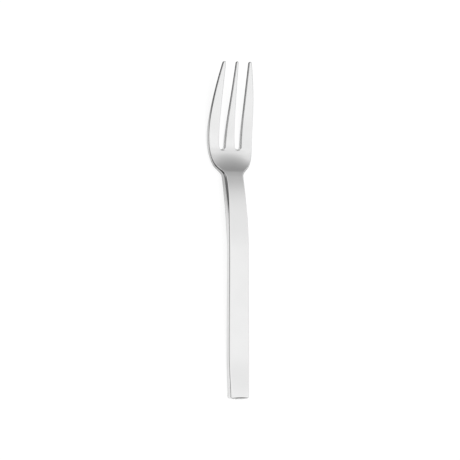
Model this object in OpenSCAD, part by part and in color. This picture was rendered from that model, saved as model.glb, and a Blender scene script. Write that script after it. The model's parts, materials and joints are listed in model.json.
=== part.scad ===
// Pastry fork, forged from one strip of stainless steel: a flat bar handle that swells at its
// butt, a thick neck that bends down to a crease, and a dished head with three equal tines.
// Seen from above, +Y runs from the butt to the tips of the tines and +X lies across the fork.
// The fork lies on its back on a table at z = 0, so it touches at the butt and under the bowl.

/* [Whole fork] */
// Length from the butt of the handle to the tips of the tines
fork_l = 154; // [130:1:200]
// Radius of the softened edges of the handle
edge_r = 0.5; // [0.2:0.05:0.8]

/* [Handle] */
// Width of the bar at its widest, near the butt
handle_w = 10.4; // [8:0.05:13]
// Width of the bar where the neck starts
waist_w = 9.95; // [8:0.05:12]
// Width at the butt
butt_w = 9.6; // [8:0.05:12]
// Thickness of the bar
handle_t = 3.1; // [2.2:0.1:4.5]
// Thickness at the butt
butt_t = 3.8; // [2.2:0.1:5]
// Height by which the top of the butt stands above the top of the bar
butt_rise = 0.9; // [0:0.05:1.5]
// Length over which the butt narrows and thickens
butt_l = 20; // [10:1:30]
// Height of the bow of the butt's end line
butt_bow = 0.6; // [0:0.05:1]
// Height of the arch of the butt's back, which stands on its two corners
butt_arch = 0.02; // [0:0.01:0.2]
// Corner radius of the butt, seen from above
butt_corner_r = 0.8; // [0.5:0.05:2]
// Radius of the top edge in the middle of the butt's end, where it is rounded off most
butt_edge_r = 1.4; // [0.5:0.1:2]

/* [Neck] */
// Length from the start of the bend to the crease
neck_l = 37; // [26:0.1:40]
// Length over which the bar turns down
bend_l = 16; // [6:1:20]
// Width of the neck at its slimmest, over its swelled sides
neck_w = 10.4; // [6:0.05:11]
// Radius of the softened edges at the slimmest place of the neck
neck_edge_r = 0.35; // [0.2:0.05:0.6]
// Swell of the sides at the slimmest place of the neck, as their turn at the edges in degrees
neck_swell = 50; // [10:1:60]
// Length from the slimmest place of the neck to the crease
neck_slim_l = 2.5; // [1.5:0.5:8]
// Thickness at the crease
neck_t = 4.5; // [3.5:0.1:6]
// Depth of the crease below the top of the bar
neck_drop = 5.8; // [3:0.1:7]
// Downward slope after the bend, in degrees
bend_slope = 6; // [4:0.5:11]
// Downward slope of the neck at the crease, in degrees
neck_slope = 24; // [10:0.5:26]
// Downward slope of the back under the crease, in degrees
back_slope = 11.5; // [6:0.5:16]

/* [Head] */
// Length from the crease to the tips of the tines
head_l = 50; // [48:0.1:60]
// Width of the head at its widest
head_w = 22.5; // [19:0.1:26]
// Length from the crease to the widest place
shoulder_l = 16.5; // [14:0.5:20]
// Length from the crease to the deepest place of the bowl
bowl_l = 11.5; // [10:0.5:16]
// Depth of the bowl below the top of the bar
bowl_drop = 9.8; // [7:0.05:12]
// Thickness at the deepest place of the bowl
bowl_t = 2.7; // [1.8:0.05:3.2]
// Downward slope of the scoop at the crease, in degrees
scoop_slope = 33; // [20:1:35]
// Depth of the hollow across the palm
dish_d = 0.85; // [0:0.05:1]

/* [Tines] */
// Length of the tines, from the roots of the slots
tine_l = 39.8; // [34:0.1:43]
// Length of the straight stretch of the tines
tine_straight_l = 22; // [16:0.5:26]
// Upward slope of the straight stretch, in degrees
tine_slope = 14.5; // [8:0.5:20]
// Depth of the tips below the top of the bar
tip_drop = 1.4; // [-2:0.1:3]
// Thickness of the tines
tine_t = 2; // [1.5:0.05:2.6]
// Thickness at the tips
tip_t = 1.6; // [1:0.05:2.2]
// Width of the middle tine at its root
mid_root_w = 5.6; // [4:0.1:6.5]
// Width of the middle tine before its tip
mid_tip_w = 1.35; // [0.9:0.05:2]
// Width of an outer tine before its tip
side_tip_w = 1.5; // [0.8:0.05:2]
// Width of a slot at its root
slot_root_w = 2.35; // [2:0.05:3.5]
// Width of the gap between two tips
tip_gap_w = 5; // [4.5:0.05:6]
// Length of the round root of a slot
slot_root_l = 0.95; // [0.8:0.05:2]
// Length of the round end of a tine
tip_round_l = 0.75; // [0.5:0.05:1.5]
// Edge radius of the tines at their roots
tine_edge_r = 0.4; // [0.15:0.05:0.6]
// Edge radius at the tips
tip_edge_r = 0.2; // [0.1:0.02:0.36]
// Swell of the sides at the widest place of the head, as their turn at the edges in degrees
head_swell = 32; // [5:1:40]
// Swell of the sides at the tips, as their turn at the edges in degrees
tip_swell = 52; // [5:1:55]

/* [Hidden] */

// Places along the fork, from the butt
crease_y = fork_l - head_l;
bend_y = crease_y - neck_l;
slim_y = crease_y - neck_slim_l;
wide_y = crease_y + shoulder_l;
bowl_y = crease_y + bowl_l;
root_y = fork_l - tine_l;
straight_y = fork_l - tine_straight_l;

// The curve of the shoulder, as shares of its length and of its step from neck to head
flare_place_shares = [0.155, 0.5];
flare_step_shares = [0.635, 0.92];
flare_slopes = [0.5, 0.15];
// The side of the head tapers at this slope when it reaches the tips
side_slope = -0.22;
// The sides of the bar are all but flat: their turn at the edges in degrees
bar_swell = 4;
// Slopes of the two sides of a slot, at its root and at the tips
slot_in_slopes = [-0.067, -0.03];
slot_out_slopes = [0.045, 0.005];
// The palm's hollow deepens at this slope from the crease on
dish_slope = 0.09;
// It is deepest at this share of the way from the crease to the roots of the slots
dish_place_share = 0.7;
// How far the hollow runs on into the tines, as a share of their length
dish_fade_share = 0.3;

// Cubic curve through knots of [place, value, slope], read at the place y
function curve(knots, y, i = 0) =
    i < len(knots) - 2 && y > knots[i + 1][0]
        ? curve(knots, y, i + 1)
        : let (
              a = knots[i],
              b = knots[i + 1],
              span = b[0] - a[0],
              t = max(0, min(1, (y - a[0]) / span)),
              u = 1 - t
          )
          a[1] * (1 + 2 * t) * u ^ 2 + b[1] * (3 - 2 * t) * t ^ 2
              + span * (a[2] * t * u ^ 2 - b[2] * u * t ^ 2);

// Side view: heights above the top of the bar
handle_top = [
    [0, butt_rise, 0],
    [butt_l, 0, 0],
    [bend_y, 0, 0],
    [bend_y + bend_l, -bend_l * tan(bend_slope) / 2, -tan(bend_slope)],
    [crease_y, -neck_drop, -tan(neck_slope)],
];
head_top = [
    [crease_y, -neck_drop, -tan(scoop_slope)],
    [bowl_y, -bowl_drop, 0],
    [straight_y, -tip_drop - tine_straight_l * tan(tine_slope), tan(tine_slope)],
    [fork_l, -tip_drop, tan(tine_slope)],
];
tine_back_slope = tan(tine_slope) + (tine_t - tip_t) / tine_straight_l;
back = [
    [0, butt_rise - butt_t, 0],
    [butt_l, -handle_t, 0],
    [bend_y, -handle_t, 0],
    [crease_y, -neck_drop - neck_t, -tan(back_slope)],
    [bowl_y, -bowl_drop - bowl_t, 0],
    [straight_y, head_top[2][1] - tine_t, tine_back_slope],
    [fork_l, -tip_drop - tip_t, tine_back_slope],
];

// Plan view: distances from the middle line
shoulder_step = (head_w - neck_w) / 2;
side_tip_x = mid_tip_w / 2 + tip_gap_w + side_tip_w;
side = [
    [0, butt_w / 2, 0],
    [butt_l, handle_w / 2, 0],
    [bend_y, waist_w / 2, 0],
    [slim_y, neck_w / 2, 0],
    for (i = [0, 1]) [
        crease_y + shoulder_l * flare_place_shares[i],
        neck_w / 2 + shoulder_step * flare_step_shares[i],
        flare_slopes[i]
    ],
    [wide_y, head_w / 2, 0],
    [fork_l, side_tip_x, side_slope],
];
slot_in = [
    [root_y, mid_root_w / 2, slot_in_slopes[0]],
    [fork_l, mid_tip_w / 2, slot_in_slopes[1]],
];
slot_out = [
    [root_y, mid_root_w / 2 + slot_root_w, slot_out_slopes[0]],
    [fork_l, mid_tip_w / 2 + tip_gap_w, slot_out_slopes[1]],
];
dish = [
    [crease_y, 0, dish_slope],
    [crease_y + (root_y - crease_y) * dish_place_share, dish_d, 0],
    [root_y + tine_l * dish_fade_share, 0, 0],
];
edge = [
    [bend_y, edge_r, 0],
    [slim_y, neck_edge_r, 0],
    [wide_y, tine_edge_r, 0],
    [fork_l, tip_edge_r, 0],
];
swell = [
    [bend_y, bar_swell, 0],
    [slim_y, neck_swell, 0],
    [wide_y, head_swell, 0],
    [fork_l, tip_swell, 0],
];

// Share of the full width that a round end still has at a share t of its length
function round_share(t) = sqrt(max(0, 1 - t ^ 2));

// Half the width of the whole outline, with the round corners of the butt
function side_x(y) =
    curve(side, y) - butt_corner_r * (1 - round_share(max(0, 1 - y / butt_corner_r)));

// The slots close in a round at their roots
function slot_gap_x(y, way) =
    let (
        inner = curve(slot_in, y),
        outer = curve(slot_out, y),
        open_share = round_share(max(0, 1 - (y - root_y) / slot_root_l))
    )
    (inner + outer) / 2 + way * open_share * (outer - inner) / 2;

// Edge of a tine: tine is -1, 0 or 1 from left to right, and way is -1 or 1
function tine_x(tine, way, y) =
    let (
        inner = slot_gap_x(y, 1),
        middle = tine * (side_x(y) + inner) / 2,
        half = tine == 0 ? slot_gap_x(y, -1) : (side_x(y) - inner) / 2,
        tip_share = round_share(max(0, (y - fork_l + tip_round_l) / tip_round_l))
    )
    middle + way * tip_share * half;

// Heights of the two faces over a place in plan, where the palm is hollow
function hollow(p) = curve(dish, p.y) * (p.x / side_x(p.y)) ^ 2;
function face_z(p, on_top) =
    curve(on_top ? (p.y < crease_y ? handle_top : head_top) : back, p.y) + hollow(p);

// A side wall in section: its swelling, and how far it draws in at a turn of its face from level,
// with the radii of the two edges as ends = [bottom, top]
function swell_r(here, turn, ends) =
    (face_z(here, true) - face_z(here, false) - (ends[0] + ends[1]) * (1 - sin(turn)))
        / (2 * sin(turn));
function inset(here, end_turn, ends, turn) =
    let (large = swell_r(here, end_turn, ends), small = ends[turn > 0 ? 1 : 0])
    abs(turn) < end_turn
        ? large * (1 - cos(turn))
        : large * (1 - cos(end_turn)) + small * (cos(end_turn) - cos(turn));
// The last full row of points keeps clear of the walls at the roots of the slots
root_edge_r = curve(edge, root_y);
root_margin = inset([0, root_y], curve(swell, root_y), [root_edge_r, root_edge_r], 90)
    + root_edge_r / 2;

// Rows of points along the fork: even steps, and round ends in even turns
function even(from, to, steps) = [for (i = [0 : steps - 1]) from + (to - from) * i / steps];
function turned(from, length, steps) =
    [for (i = [0 : steps - 1]) from + length * (1 - cos(90 * i / steps))];
function turned_back(from, length, steps) =
    [for (i = [0 : steps]) from + length * sin(90 * i / steps)];
rows_to_root = concat(
    turned(0, butt_corner_r, 4),
    even(butt_corner_r, butt_l, 5),
    even(butt_l, bend_y, 5),
    even(bend_y, slim_y, 14),
    even(slim_y, crease_y, 4),
    even(crease_y, root_y - root_margin, 15)
);
rows_of_tines = concat(
    turned(root_y, slot_root_l, 4),
    even(root_y + slot_root_l, straight_y, 17),
    even(straight_y, fork_l - tip_round_l, 8),
    turned_back(fork_l - tip_round_l, tip_round_l, 4)
);
rows = concat(rows_to_root, rows_of_tines);
root_row = len(rows_to_root);
tip_row = len(rows) - 1;
tine_rows = tip_row - root_row;
// Columns of each third of the fork, which runs on into one tine
third_cols = 2;
all_cols = 3 * third_cols;

// The outline, clockwise from the left corner of the butt: up and down each tine, then along
// the butt from right to left
butt_half = side_x(0);
outline = [
    for (tine = [-1 : 1]) each concat(
        [
            for (j = [(tine < 0 ? 0 : root_row + 1) : tip_row])
                [tine_x(tine, -1, rows[j]), rows[j]]
        ],
        [
            for (j = [tip_row - 1 : -1 : (tine > 0 ? 0 : root_row)])
                [tine_x(tine, 1, rows[j]), rows[j]]
        ]
    ),
    for (c = [all_cols - 1 : -1 : 1]) [butt_half * (2 * c / all_cols - 1), 0],
];
outline_n = len(outline);

// Where the outline passes row j on the left and the right of a tine
function left_of(tine, j) = tip_row + 2 * tine_rows * (tine + 1) - (tip_row - j);
function right_of(tine, j) = tip_row + 2 * tine_rows * (tine + 1) + (tip_row - j);

// Direction into the metal at a point of the outline
function inward(i) =
    let (
        here = outline[i],
        before = here - outline[(i + outline_n - 1) % outline_n],
        after = outline[(i + 1) % outline_n] - here,
        along = before / norm(before) + after / norm(after)
    )
    [along.y, -along.x] / norm(along);

// The radius of the top edge grows towards the middle of the butt's end
function top_edge_r(p) =
    curve(edge, p.y)
        + (p.y > 0 ? 0 : (butt_edge_r - edge_r) * max(0, 1 - (p.x / butt_half) ^ 2));

// The wall under one point of the outline, from the top face round to the back
edge_steps = 3;
swell_steps = 4;
function wall_turns(end_turn) =
    let (
        rounds = [for (i = [0 : edge_steps]) 90 - (90 - end_turn) * i / edge_steps],
        between = [for (i = [1 : swell_steps - 1]) end_turn * (1 - 2 * i / swell_steps)]
    )
    concat(rounds, between, [for (i = [edge_steps : -1 : 0]) -rounds[i]]);
function wall(i) =
    let (
        here = outline[i],
        end_turn = curve(swell, here.y),
        ends = [curve(edge, here.y), top_edge_r(here)]
    )
    [
        for (turn = wall_turns(end_turn))
            let (
                p = here + inward(i) * inset(here, end_turn, ends, turn),
                high = face_z(p, true) - ends[1] * (1 - sin(max(turn, end_turn))),
                low = face_z(p, false) + ends[0] * (1 - sin(max(-turn, end_turn))),
                share = (1 + sin(turn) / sin(end_turn)) / 2
            )
            [p.x, p.y, low + (high - low) * max(0, min(1, share))]
    ];
walls = [for (i = [0 : outline_n - 1]) wall(i)];
wall_end = len(walls[0]) - 1;

// A point of a face between the two walls of a row
function between(a, b, share, j, on_top) =
    let (
        p = a * (1 - share) + b * share,
        end_round = on_top ? top_edge_r([p.x, 0]) - edge_r : 0,
        q = [
            p.x,
            rows[j] <= butt_corner_r ? p.y + end_round : j < root_row ? rows[j] : p.y
        ]
    )
    share == 0 ? a : share == 1 ? b : [q.x, q.y, face_z(q, on_top)];

// The part of a row that lies in one third of the fork
middle_share = (mid_root_w + slot_root_w) / (2 * side_x(root_y));
third_shares = [0, (1 - middle_share) / 2, (1 + middle_share) / 2, 1];
function third(tine, j, on_top) =
    let (
        end = on_top ? 0 : wall_end,
        whole = j < root_row,
        a = walls[left_of(whole ? -1 : tine, j)][end],
        b = walls[right_of(whole ? 1 : tine, j)][end],
        from = whole ? third_shares[tine + 1] : 0,
        to = whole ? third_shares[tine + 2] : 1
    )
    [
        for (i = [0 : third_cols])
            let (t = i / third_cols, c = (tine + 1) * third_cols + i)
            j == 0
                ? walls[(outline_n - c) % outline_n][end]
                : between(a, b, from * (1 - t) + to * t, j, on_top)
    ];

// Triangles between two lists of points, without those that have no width
function skin(a, b) =
    [
        for (i = [0 : len(a) - 2])
            for (t = [[a[i], a[i + 1], b[i + 1]], [a[i], b[i + 1], b[i]]])
                if (t[0] != t[1] && t[1] != t[2] && t[2] != t[0]) t
    ];
triangles = [
    for (i = [0 : outline_n - 1]) each skin(walls[i], walls[(i + 1) % outline_n]),
    for (tine = [-1 : 1])
        for (j = [0 : tip_row - 1])
            each concat(
                skin(third(tine, j + 1, true), third(tine, j, true)),
                skin(third(tine, j, false), third(tine, j + 1, false))
            ),
];

// The fork lies down: it turns about the back of its butt until its bowl comes level with it
heel = [0, edge_r, face_z([0, edge_r], false)];
lie_angle = max([
    for (y = rows) if (y > bend_y) atan2(heel.z - face_z([0, y], false), y - heel.y)
]);
// The butt's end line is bowed level with the table and arched, and both die out along the swelling
function butt_share(p) = max(0, 1 - p.y / butt_l) ^ 2;
function bow_y(p) = butt_bow * (2 * p.x / butt_w) ^ 2 * butt_share(p);
function arch_z(p) = butt_arch * max(0, 1 - (p.x / butt_half) ^ 2) * butt_share(p);
function lying(p) =
    let (q = p - heel)
    [
        q.x,
        q.y * cos(lie_angle) - q.z * sin(lie_angle) + bow_y(p),
        q.y * sin(lie_angle) + q.z * cos(lie_angle) + arch_z(p)
    ];
points = [for (t = triangles) for (p = t) lying(p)];
all_y = [for (p = points) p.y];
middle = [0, (min(all_y) + max(all_y)) / 2, min([for (p = points) p.z])];

module fork() {
    color("gainsboro")
        polyhedron(
            points = [for (p = points) p - middle],
            faces = [for (i = [0 : len(triangles) - 1]) [3 * i, 3 * i + 1, 3 * i + 2]],
            convexity = 4
        );
}

fork();
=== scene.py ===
"""Pastry fork, forged in one piece from stainless steel and polished, lying on a pale studio table.

Seen from above, +Y runs from the butt of the handle to the tips of the tines and +X lies across
the fork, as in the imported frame. Lengths are in metres.
"""

import json
import math

import bmesh
import bpy
from mathutils import Matrix, Vector


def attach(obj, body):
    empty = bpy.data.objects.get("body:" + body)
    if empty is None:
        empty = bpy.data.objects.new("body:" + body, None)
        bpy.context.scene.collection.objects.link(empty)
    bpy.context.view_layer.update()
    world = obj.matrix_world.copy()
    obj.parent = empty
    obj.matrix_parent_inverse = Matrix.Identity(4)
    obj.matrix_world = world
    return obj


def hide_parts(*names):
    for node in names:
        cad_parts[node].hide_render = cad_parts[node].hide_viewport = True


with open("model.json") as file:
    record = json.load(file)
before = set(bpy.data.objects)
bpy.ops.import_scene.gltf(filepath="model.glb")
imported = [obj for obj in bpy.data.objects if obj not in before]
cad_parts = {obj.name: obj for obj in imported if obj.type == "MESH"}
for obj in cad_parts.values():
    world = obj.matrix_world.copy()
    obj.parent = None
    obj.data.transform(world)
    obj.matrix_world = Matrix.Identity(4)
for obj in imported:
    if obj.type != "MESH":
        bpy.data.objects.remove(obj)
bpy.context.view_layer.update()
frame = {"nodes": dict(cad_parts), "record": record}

MM = 0.001

# The photograph: its size in pixels, the size of one pixel on the top of the bar, and the pixel
# at which the middle of the bar's flat top lies
PHOTO_PX = 460
PIXEL = 0.45465 * MM
BAR_PX = (239.3, 304.38)
# The camera stands to the left of the handle's normal, and a little towards the butt
LEFT_DEG = 25.0
DOWN_DEG = 1.0
CAMERA_DISTANCE = 1.6
CAMERA_RANGE = (0.01, 20)
SENSOR_W = 36.0

WHITE = "#FFFFFF"
STEEL = "#EAEAEA"
STEEL_CLOUDED = "#E4E4E4"
TABLE = "#F6F6F6"

# Grinding leaves lines some 0.03 mm apart, too fine to show, so they are drawn this far apart
HAIR_LINE_GAP = 0.25 * MM
HAIR_LINE_LENGTH = 20 * MM
HAIR_LINE_HEIGHT = 0.01 * MM
HAIR_LINE_STRENGTH = 0.05
HAIR_LINE_ROUGHNESS = 0.04
# Handling leaves the gloss cloudy, between these two roughnesses
CLOUD_W = 9 * MM
CLOUD_ROUGHNESS = (0.07, 0.11)

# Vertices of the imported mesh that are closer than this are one, and two triangles become a quad
# of any shape where the fold between them is smaller than this
MERGE_DISTANCE = 0.001 * MM
QUAD_FOLD_DEG = 40
QUAD_SHAPE_DEG = 180
SUBDIVISIONS = 2

# Of what the camera and the steel see of the table, these shares are a plain white glow. The
# rest is paint
TABLE_GLOW = 1.03
CAMERA_GLOW_SHARE = 0.85
MIRRORED_GLOW_SHARE = 0.1
TABLE_HALF_W = 3.0

# All light levels below are (place, level) stops of a soft ramp. At level 1 the camera burns out
# to white, and the studio is up to this bright
BRIGHTEST = 1.5

# A patch of light painted into the table's colour, which only the steel mirrors: painted light and
# painted shade that no lamp casts.
# It runs from the middle of the fork to its tips, where it ends in painted shade, and from under
# the fork outwards to both sides
PAINTED_POOL_Y = (-10 * MM, 80 * MM)
PAINTED_POOL_ALONG = [
    (0.0, 0.86),
    (0.2, 0.83),
    (0.31, 0.56),
    (0.42, 0.46),
    (0.5, 0.74),
    (0.66, 0.74),
    (0.76, 0.1),
    (1.0, 0.03),
]
PAINTED_POOL_SIDE = (0, 60 * MM)
PAINTED_POOL_ACROSS = [(0.0, 1.0), (0.3, 1.0), (0.7, 0.0), (1.0, 0.0)]

# The room's parts lie these ways. The ceiling's middle leans towards the butt
CEILING_LEAN = math.radians(25)
ROOM_WAYS = {
    "right": (1, 0, 0),
    "ceiling": (0, -math.sin(CEILING_LEAN), math.cos(CEILING_LEAN)),
    "left_wall": (-1, 0, 0.25),
    "front_wall": (0, -1, 0.1),
    "left_corner": (-1, -1, 0.7),
    "right_corner": (1, -0.8, 0.1),
}
# The ceiling fades towards the tips, most of all this far to the right of them
FADE_MIDDLE = 0.4
FADE_CURVE = 4.5
CEILING_LIGHT = [
    (0.0, 0.34),
    (0.15, 0.36),
    (0.32, 0.47),
    (0.44, 0.57),
    (0.55, 0.7),
    (0.64, 0.86),
    (0.74, 0.98),
    (0.82, 0.96),
    (0.86, 1.12),
    (0.91, 1.0),
    (1.0, 1.0),
]
# Each wall starts bright next to the ceiling, has a dark band, and is grey at its middle
LEFT_WALL_LIGHT = [
    (0.0, 1.0),
    (0.15, 1.0),
    (0.3, 1.16),
    (0.62, 1.16),
    (0.71, 0.05),
    (0.79, 0.0),
    (0.88, 0.0),
    (0.94, 0.18),
    (1.0, 0.5),
]
FRONT_WALL_LIGHT = [
    (0.0, 1.0),
    (0.35, 1.0),
    (0.58, 1.0),
    (0.65, 1.2),
    (0.71, 0.02),
    (0.8, 0.04),
    (0.88, 0.35),
    (1.0, 0.62),
]
# The corners of the front wall are dim, but not dark
CORNER_LIGHT = [(0.0, 0.0), (0.93, 0.0), (0.97, 0.6), (1.0, 1.0)]
CORNER_LEVELS = {"left_corner": 0.22, "right_corner": 0.35}

LAMP_PLACE = (-0.3, -0.4, 1.3)
LAMP_W = 1.2
LAMP_WATTS = 12


def linear(code):
    """An sRGB hex colour as the linear numbers that the shaders take."""
    parts = [int(code[i : i + 2], 16) / 255 for i in (1, 3, 5)]
    return [c / 12.92 if c <= 0.04045 else ((c + 0.055) / 1.055) ** 2.4 for c in parts] + [1.0]


def add(tree, kind, links=None, values=None, stops=None, **settings):
    """Adds a node: links maps its inputs to other nodes' sockets, values maps them to constants,
    and a ramp's stops are pairs of a place and a grey level."""
    node = tree.nodes.new(kind)
    for name, value in settings.items():
        setattr(node, name, value)
    for key, value in (values or {}).items():
        node.inputs[key].default_value = value
    for key, socket in (links or {}).items():
        tree.links.new(socket, node.inputs[key])
    if stops:
        node.color_ramp.interpolation = "B_SPLINE"
        steps = node.color_ramp.elements
        while len(steps) < len(stops):
            steps.new(0.5)
        for step, (at, level) in zip(steps, stops):
            step.position, step.color = at, [level] * 3 + [1.0]
    return node


def new_material(name):
    material = bpy.data.materials.new(name)
    material.use_nodes = True
    material.node_tree.nodes.clear()
    return material, material.node_tree


def polished_stainless_steel():
    """Stainless steel, forged, ground lengthwise and buffed bright: it mirrors the room a little
    softly, the grinding shows as hair-fine lengthwise lines, and handling has left the gloss
    slightly cloudy."""
    material, tree = new_material("polished_stainless_steel")
    place = add(tree, "ShaderNodeTexCoord").outputs["Object"]
    line_map = add(
        tree,
        "ShaderNodeMapping",
        {"Vector": place},
        {"Scale": (1 / HAIR_LINE_GAP, 1 / HAIR_LINE_LENGTH, 1 / HAIR_LINE_GAP)},
    )
    lines = add(
        tree,
        "ShaderNodeTexNoise",
        {"Vector": line_map.outputs["Vector"]},
        {"Scale": 1.0, "Detail": 3.0, "Roughness": 0.6},
    )
    clouds = add(
        tree,
        "ShaderNodeTexNoise",
        {"Vector": place},
        {"Scale": 1 / CLOUD_W, "Detail": 4.0, "Roughness": 0.55},
    )
    clouded = add(
        tree,
        "ShaderNodeMapRange",
        {"Value": clouds.outputs["Fac"]},
        {
            "From Min": 0.3,
            "From Max": 0.7,
            "To Min": CLOUD_ROUGHNESS[0],
            "To Max": CLOUD_ROUGHNESS[1],
        },
    )
    rough = add(
        tree,
        "ShaderNodeMath",
        {0: lines.outputs["Fac"], 2: clouded.outputs["Result"]},
        {1: HAIR_LINE_ROUGHNESS},
        operation="MULTIPLY_ADD",
    )
    bump = add(
        tree,
        "ShaderNodeBump",
        {"Height": lines.outputs["Fac"]},
        {"Strength": HAIR_LINE_STRENGTH, "Distance": HAIR_LINE_HEIGHT},
    )
    tint = add(
        tree,
        "ShaderNodeMix",
        {"Factor": clouds.outputs["Fac"]},
        {"A": linear(STEEL), "B": linear(STEEL_CLOUDED)},
        data_type="RGBA",
    )
    steel = add(
        tree,
        "ShaderNodeBsdfPrincipled",
        {
            "Base Color": tint.outputs["Result"],
            "Roughness": rough.outputs["Value"],
            "Normal": bump.outputs["Normal"],
        },
        {"Metallic": 1.0},
    )
    add(tree, "ShaderNodeOutputMaterial", {"Surface": steel.outputs["BSDF"]})
    return material


def matt_white_paint():
    """Matt white paint on a board, which takes the fork's soft shadow. The camera burns it out
    to white, but for the steel its colour carries a painted patch of light that no lamp casts,
    which ends in painted shade towards the fork's head."""
    material, tree = new_material("matt_white_paint")
    ray = add(tree, "ShaderNodeLightPath")
    place = add(tree, "ShaderNodeTexCoord").outputs["Object"]
    spot = add(tree, "ShaderNodeSeparateXYZ", {"Vector": place})
    beside = add(tree, "ShaderNodeMath", {0: spot.outputs["X"]}, operation="ABSOLUTE")
    # Painted light: two ramps, along the fork and across it, paint a patch of light and shade into
    # the table's colour
    spreads = []
    for value, (start, end), stops in (
        (spot.outputs["Y"], PAINTED_POOL_Y, PAINTED_POOL_ALONG),
        (beside.outputs["Value"], PAINTED_POOL_SIDE, PAINTED_POOL_ACROSS),
    ):
        way = add(
            tree, "ShaderNodeMapRange", {"Value": value}, {"From Min": start, "From Max": end}
        )
        spreads.append(
            add(tree, "ShaderNodeValToRGB", {"Fac": way.outputs["Result"]}, stops=stops)
        )
    painted_pool = add(
        tree,
        "ShaderNodeVectorMath",
        {number: spread.outputs["Color"] for number, spread in enumerate(spreads)},
        operation="MULTIPLY",
    )
    # Only glossy rays see the painted light and shade; the camera and other rays see the plain
    # paint colour
    colour = add(
        tree,
        "ShaderNodeMix",
        {"Factor": ray.outputs["Is Glossy Ray"], "B": painted_pool.outputs["Vector"]},
        {"A": linear(TABLE)},
        data_type="RGBA",
    )
    mirrored = add(
        tree,
        "ShaderNodeMath",
        {0: ray.outputs["Is Glossy Ray"], 1: ray.outputs["Is Transmission Ray"]},
        operation="MAXIMUM",
    )
    mirrored_share = add(
        tree,
        "ShaderNodeMath",
        {0: mirrored.outputs["Value"]},
        {1: MIRRORED_GLOW_SHARE},
        operation="MULTIPLY",
    )
    share = add(
        tree,
        "ShaderNodeMath",
        {0: ray.outputs["Is Camera Ray"], 2: mirrored_share.outputs["Value"]},
        {1: CAMERA_GLOW_SHARE},
        operation="MULTIPLY_ADD",
    )
    paint = add(tree, "ShaderNodeBsdfDiffuse", {"Color": colour.outputs["Result"]})
    glow = add(
        tree, "ShaderNodeEmission", values={"Color": linear(WHITE), "Strength": TABLE_GLOW}
    )
    mixed = add(
        tree,
        "ShaderNodeMixShader",
        {0: share.outputs["Value"], 1: paint.outputs["BSDF"], 2: glow.outputs["Emission"]},
    )
    add(tree, "ShaderNodeOutputMaterial", {"Surface": mixed.outputs["Shader"]})
    return material


def fork_piece(material):
    """The forged fork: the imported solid's mesh, joined up, turned from triangles to quads and
    subdivided, so that its faces run into each other as on polished metal."""
    fork = bpy.data.objects.new("pastry_fork", frame["nodes"]["fork"].data.copy())
    bpy.context.scene.collection.objects.link(fork)
    mesh = bmesh.new()
    mesh.from_mesh(fork.data)
    bmesh.ops.remove_doubles(mesh, verts=mesh.verts, dist=MERGE_DISTANCE)
    bmesh.ops.join_triangles(
        mesh,
        faces=mesh.faces,
        angle_face_threshold=math.radians(QUAD_FOLD_DEG),
        angle_shape_threshold=math.radians(QUAD_SHAPE_DEG),
    )
    for face in mesh.faces:
        face.smooth = True
    mesh.to_mesh(fork.data)
    mesh.free()
    fork.data.materials.clear()
    fork.data.materials.append(material)
    smooth = fork.modifiers.new("smooth_faces", "SUBSURF")
    smooth.levels = smooth.render_levels = SUBDIVISIONS
    return fork


def table_top(material):
    """The studio table that the fork lies on."""
    sheet = bmesh.new()
    bmesh.ops.create_grid(sheet, x_segments=1, y_segments=1, size=TABLE_HALF_W)
    mesh = bpy.data.meshes.new("table_top")
    sheet.to_mesh(mesh)
    sheet.free()
    mesh.materials.append(material)
    table = bpy.data.objects.new("table_top", mesh)
    bpy.context.scene.collection.objects.link(table)
    return table


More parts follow.
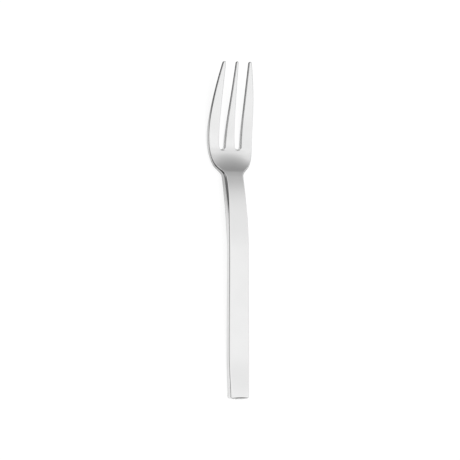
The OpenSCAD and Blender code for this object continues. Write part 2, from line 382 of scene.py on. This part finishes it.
def studio_room():
    """A soft white ceiling that fades towards the tips of the tines, and a left and a front wall
    whose dark bands draw the thin dark lines along the fork's edges and at its butt. The camera
    sees plain white."""
    world = bpy.data.worlds.new("studio_room")
    bpy.context.scene.world = world
    world.use_nodes = True
    tree = world.node_tree
    tree.nodes.clear()
    sight = add(tree, "ShaderNodeTexCoord").outputs["Generated"]
    towards = {
        part: add(
            tree,
            "ShaderNodeVectorMath",
            {0: sight},
            {1: tuple(Vector(way).normalized())},
            operation="DOT_PRODUCT",
        ).outputs["Value"]
        for part, way in ROOM_WAYS.items()
    }
    off = add(
        tree, "ShaderNodeMath", {0: towards["right"]}, {1: FADE_MIDDLE}, operation="SUBTRACT"
    ).outputs["Value"]
    off_squared = add(tree, "ShaderNodeMath", {0: off, 1: off}, operation="MULTIPLY")
    height = add(
        tree,
        "ShaderNodeMath",
        {0: off_squared.outputs["Value"], 2: towards["ceiling"]},
        {1: FADE_CURVE},
        operation="MULTIPLY_ADD",
    )
    # A ramp's own levels end at 1, so they are shares of the brightest, and the product of the
    # three is brought back to the full level
    parts = [
        add(
            tree,
            "ShaderNodeValToRGB",
            {"Fac": value},
            stops=[(at, level / BRIGHTEST) for at, level in stops],
        ).outputs["Color"]
        for value, stops in (
            (height.outputs["Value"], CEILING_LIGHT),
            (towards["left_wall"], LEFT_WALL_LIGHT),
            (towards["front_wall"], FRONT_WALL_LIGHT),
        )
    ]
    light = parts[0]
    for wall in parts[1:]:
        light = add(
            tree, "ShaderNodeVectorMath", {0: light, 1: wall}, operation="MULTIPLY"
        ).outputs["Vector"]
    light = add(
        tree,
        "ShaderNodeVectorMath",
        {0: light},
        {"Scale": BRIGHTEST ** len(parts)},
        operation="SCALE",
    ).outputs["Vector"]
    for corner, most in CORNER_LEVELS.items():
        dim = add(
            tree,
            "ShaderNodeValToRGB",
            {"Fac": towards[corner]},
            stops=[(at, level * most) for at, level in CORNER_LIGHT],
        )
        light = add(
            tree,
            "ShaderNodeVectorMath",
            {0: light, 1: dim.outputs["Color"]},
            operation="ADD",
        ).outputs["Vector"]
    ray = add(tree, "ShaderNodeLightPath")
    colour = add(
        tree,
        "ShaderNodeMix",
        {"Factor": ray.outputs["Is Camera Ray"], "A": light},
        {"B": linear(WHITE)},
        data_type="RGBA",
    )
    back = add(tree, "ShaderNodeBackground", {"Color": colour.outputs["Result"]}, {"Strength": 1.0})
    add(tree, "ShaderNodeOutputWorld", {"Surface": back.outputs["Background"]})


def soft_lamp():
    """One wide lamp overhead, which gives the fork its soft shadow on the table."""
    data = bpy.data.lights.new("ceiling_lamp", "AREA")
    data.shape = "DISK"
    data.size = LAMP_W
    data.energy = LAMP_WATTS
    lamp = bpy.data.objects.new("ceiling_lamp", data)
    bpy.context.scene.collection.objects.link(lamp)
    lamp.location = LAMP_PLACE
    lamp.rotation_mode = "QUATERNION"
    lamp.rotation_quaternion = lamp.location.to_track_quat("Z", "Y")
    lamp.visible_glossy = False


def bar_top():
    """The middle of the bar's flat top, and the turn from the bar's own axes to the frame's."""
    mounts = {m["name"]: m for m in frame["record"]["mounts"]}
    top = mounts["handle_top"]
    up = Vector(top["axis"]).normalized()
    across = Vector((1, 0, 0))
    return Vector(top["pos_m"]), Matrix((across, up.cross(across), up)).transposed()


def camera(middle, turn):
    """A long lens, square to the bar's line but for its own two angles."""
    left, down = math.radians(LEFT_DEG), math.radians(DOWN_DEG)
    towards = turn @ Vector(
        (-math.sin(left), -math.sin(down) * math.cos(left), math.cos(down) * math.cos(left))
    )
    bar = turn @ Vector((0, 1, 0))
    right = bar.cross(towards).normalized()
    up = towards.cross(right)
    data = bpy.data.cameras.new("long_lens")
    data.sensor_width = SENSOR_W
    data.lens = SENSOR_W * CAMERA_DISTANCE / (PHOTO_PX * PIXEL)
    data.clip_start, data.clip_end = CAMERA_RANGE
    eye = bpy.data.objects.new("long_lens", data)
    bpy.context.scene.collection.objects.link(eye)
    centre = PHOTO_PX / 2
    aim = middle + right * (centre - BAR_PX[0]) * PIXEL + up * (BAR_PX[1] - centre) * PIXEL
    eye.matrix_world = (
        Matrix.Translation(aim + towards * CAMERA_DISTANCE)
        @ Matrix((right, up, towards)).transposed().to_4x4()
    )
    bpy.context.scene.camera = eye


camera(*bar_top())
studio_room()
soft_lamp()
table_top(matt_white_paint())

fork = fork_piece(polished_stainless_steel())
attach(fork, "root")
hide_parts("fork")

scene = bpy.context.scene
scene.view_settings.view_transform = "Standard"

bpy.context.view_layer.update()
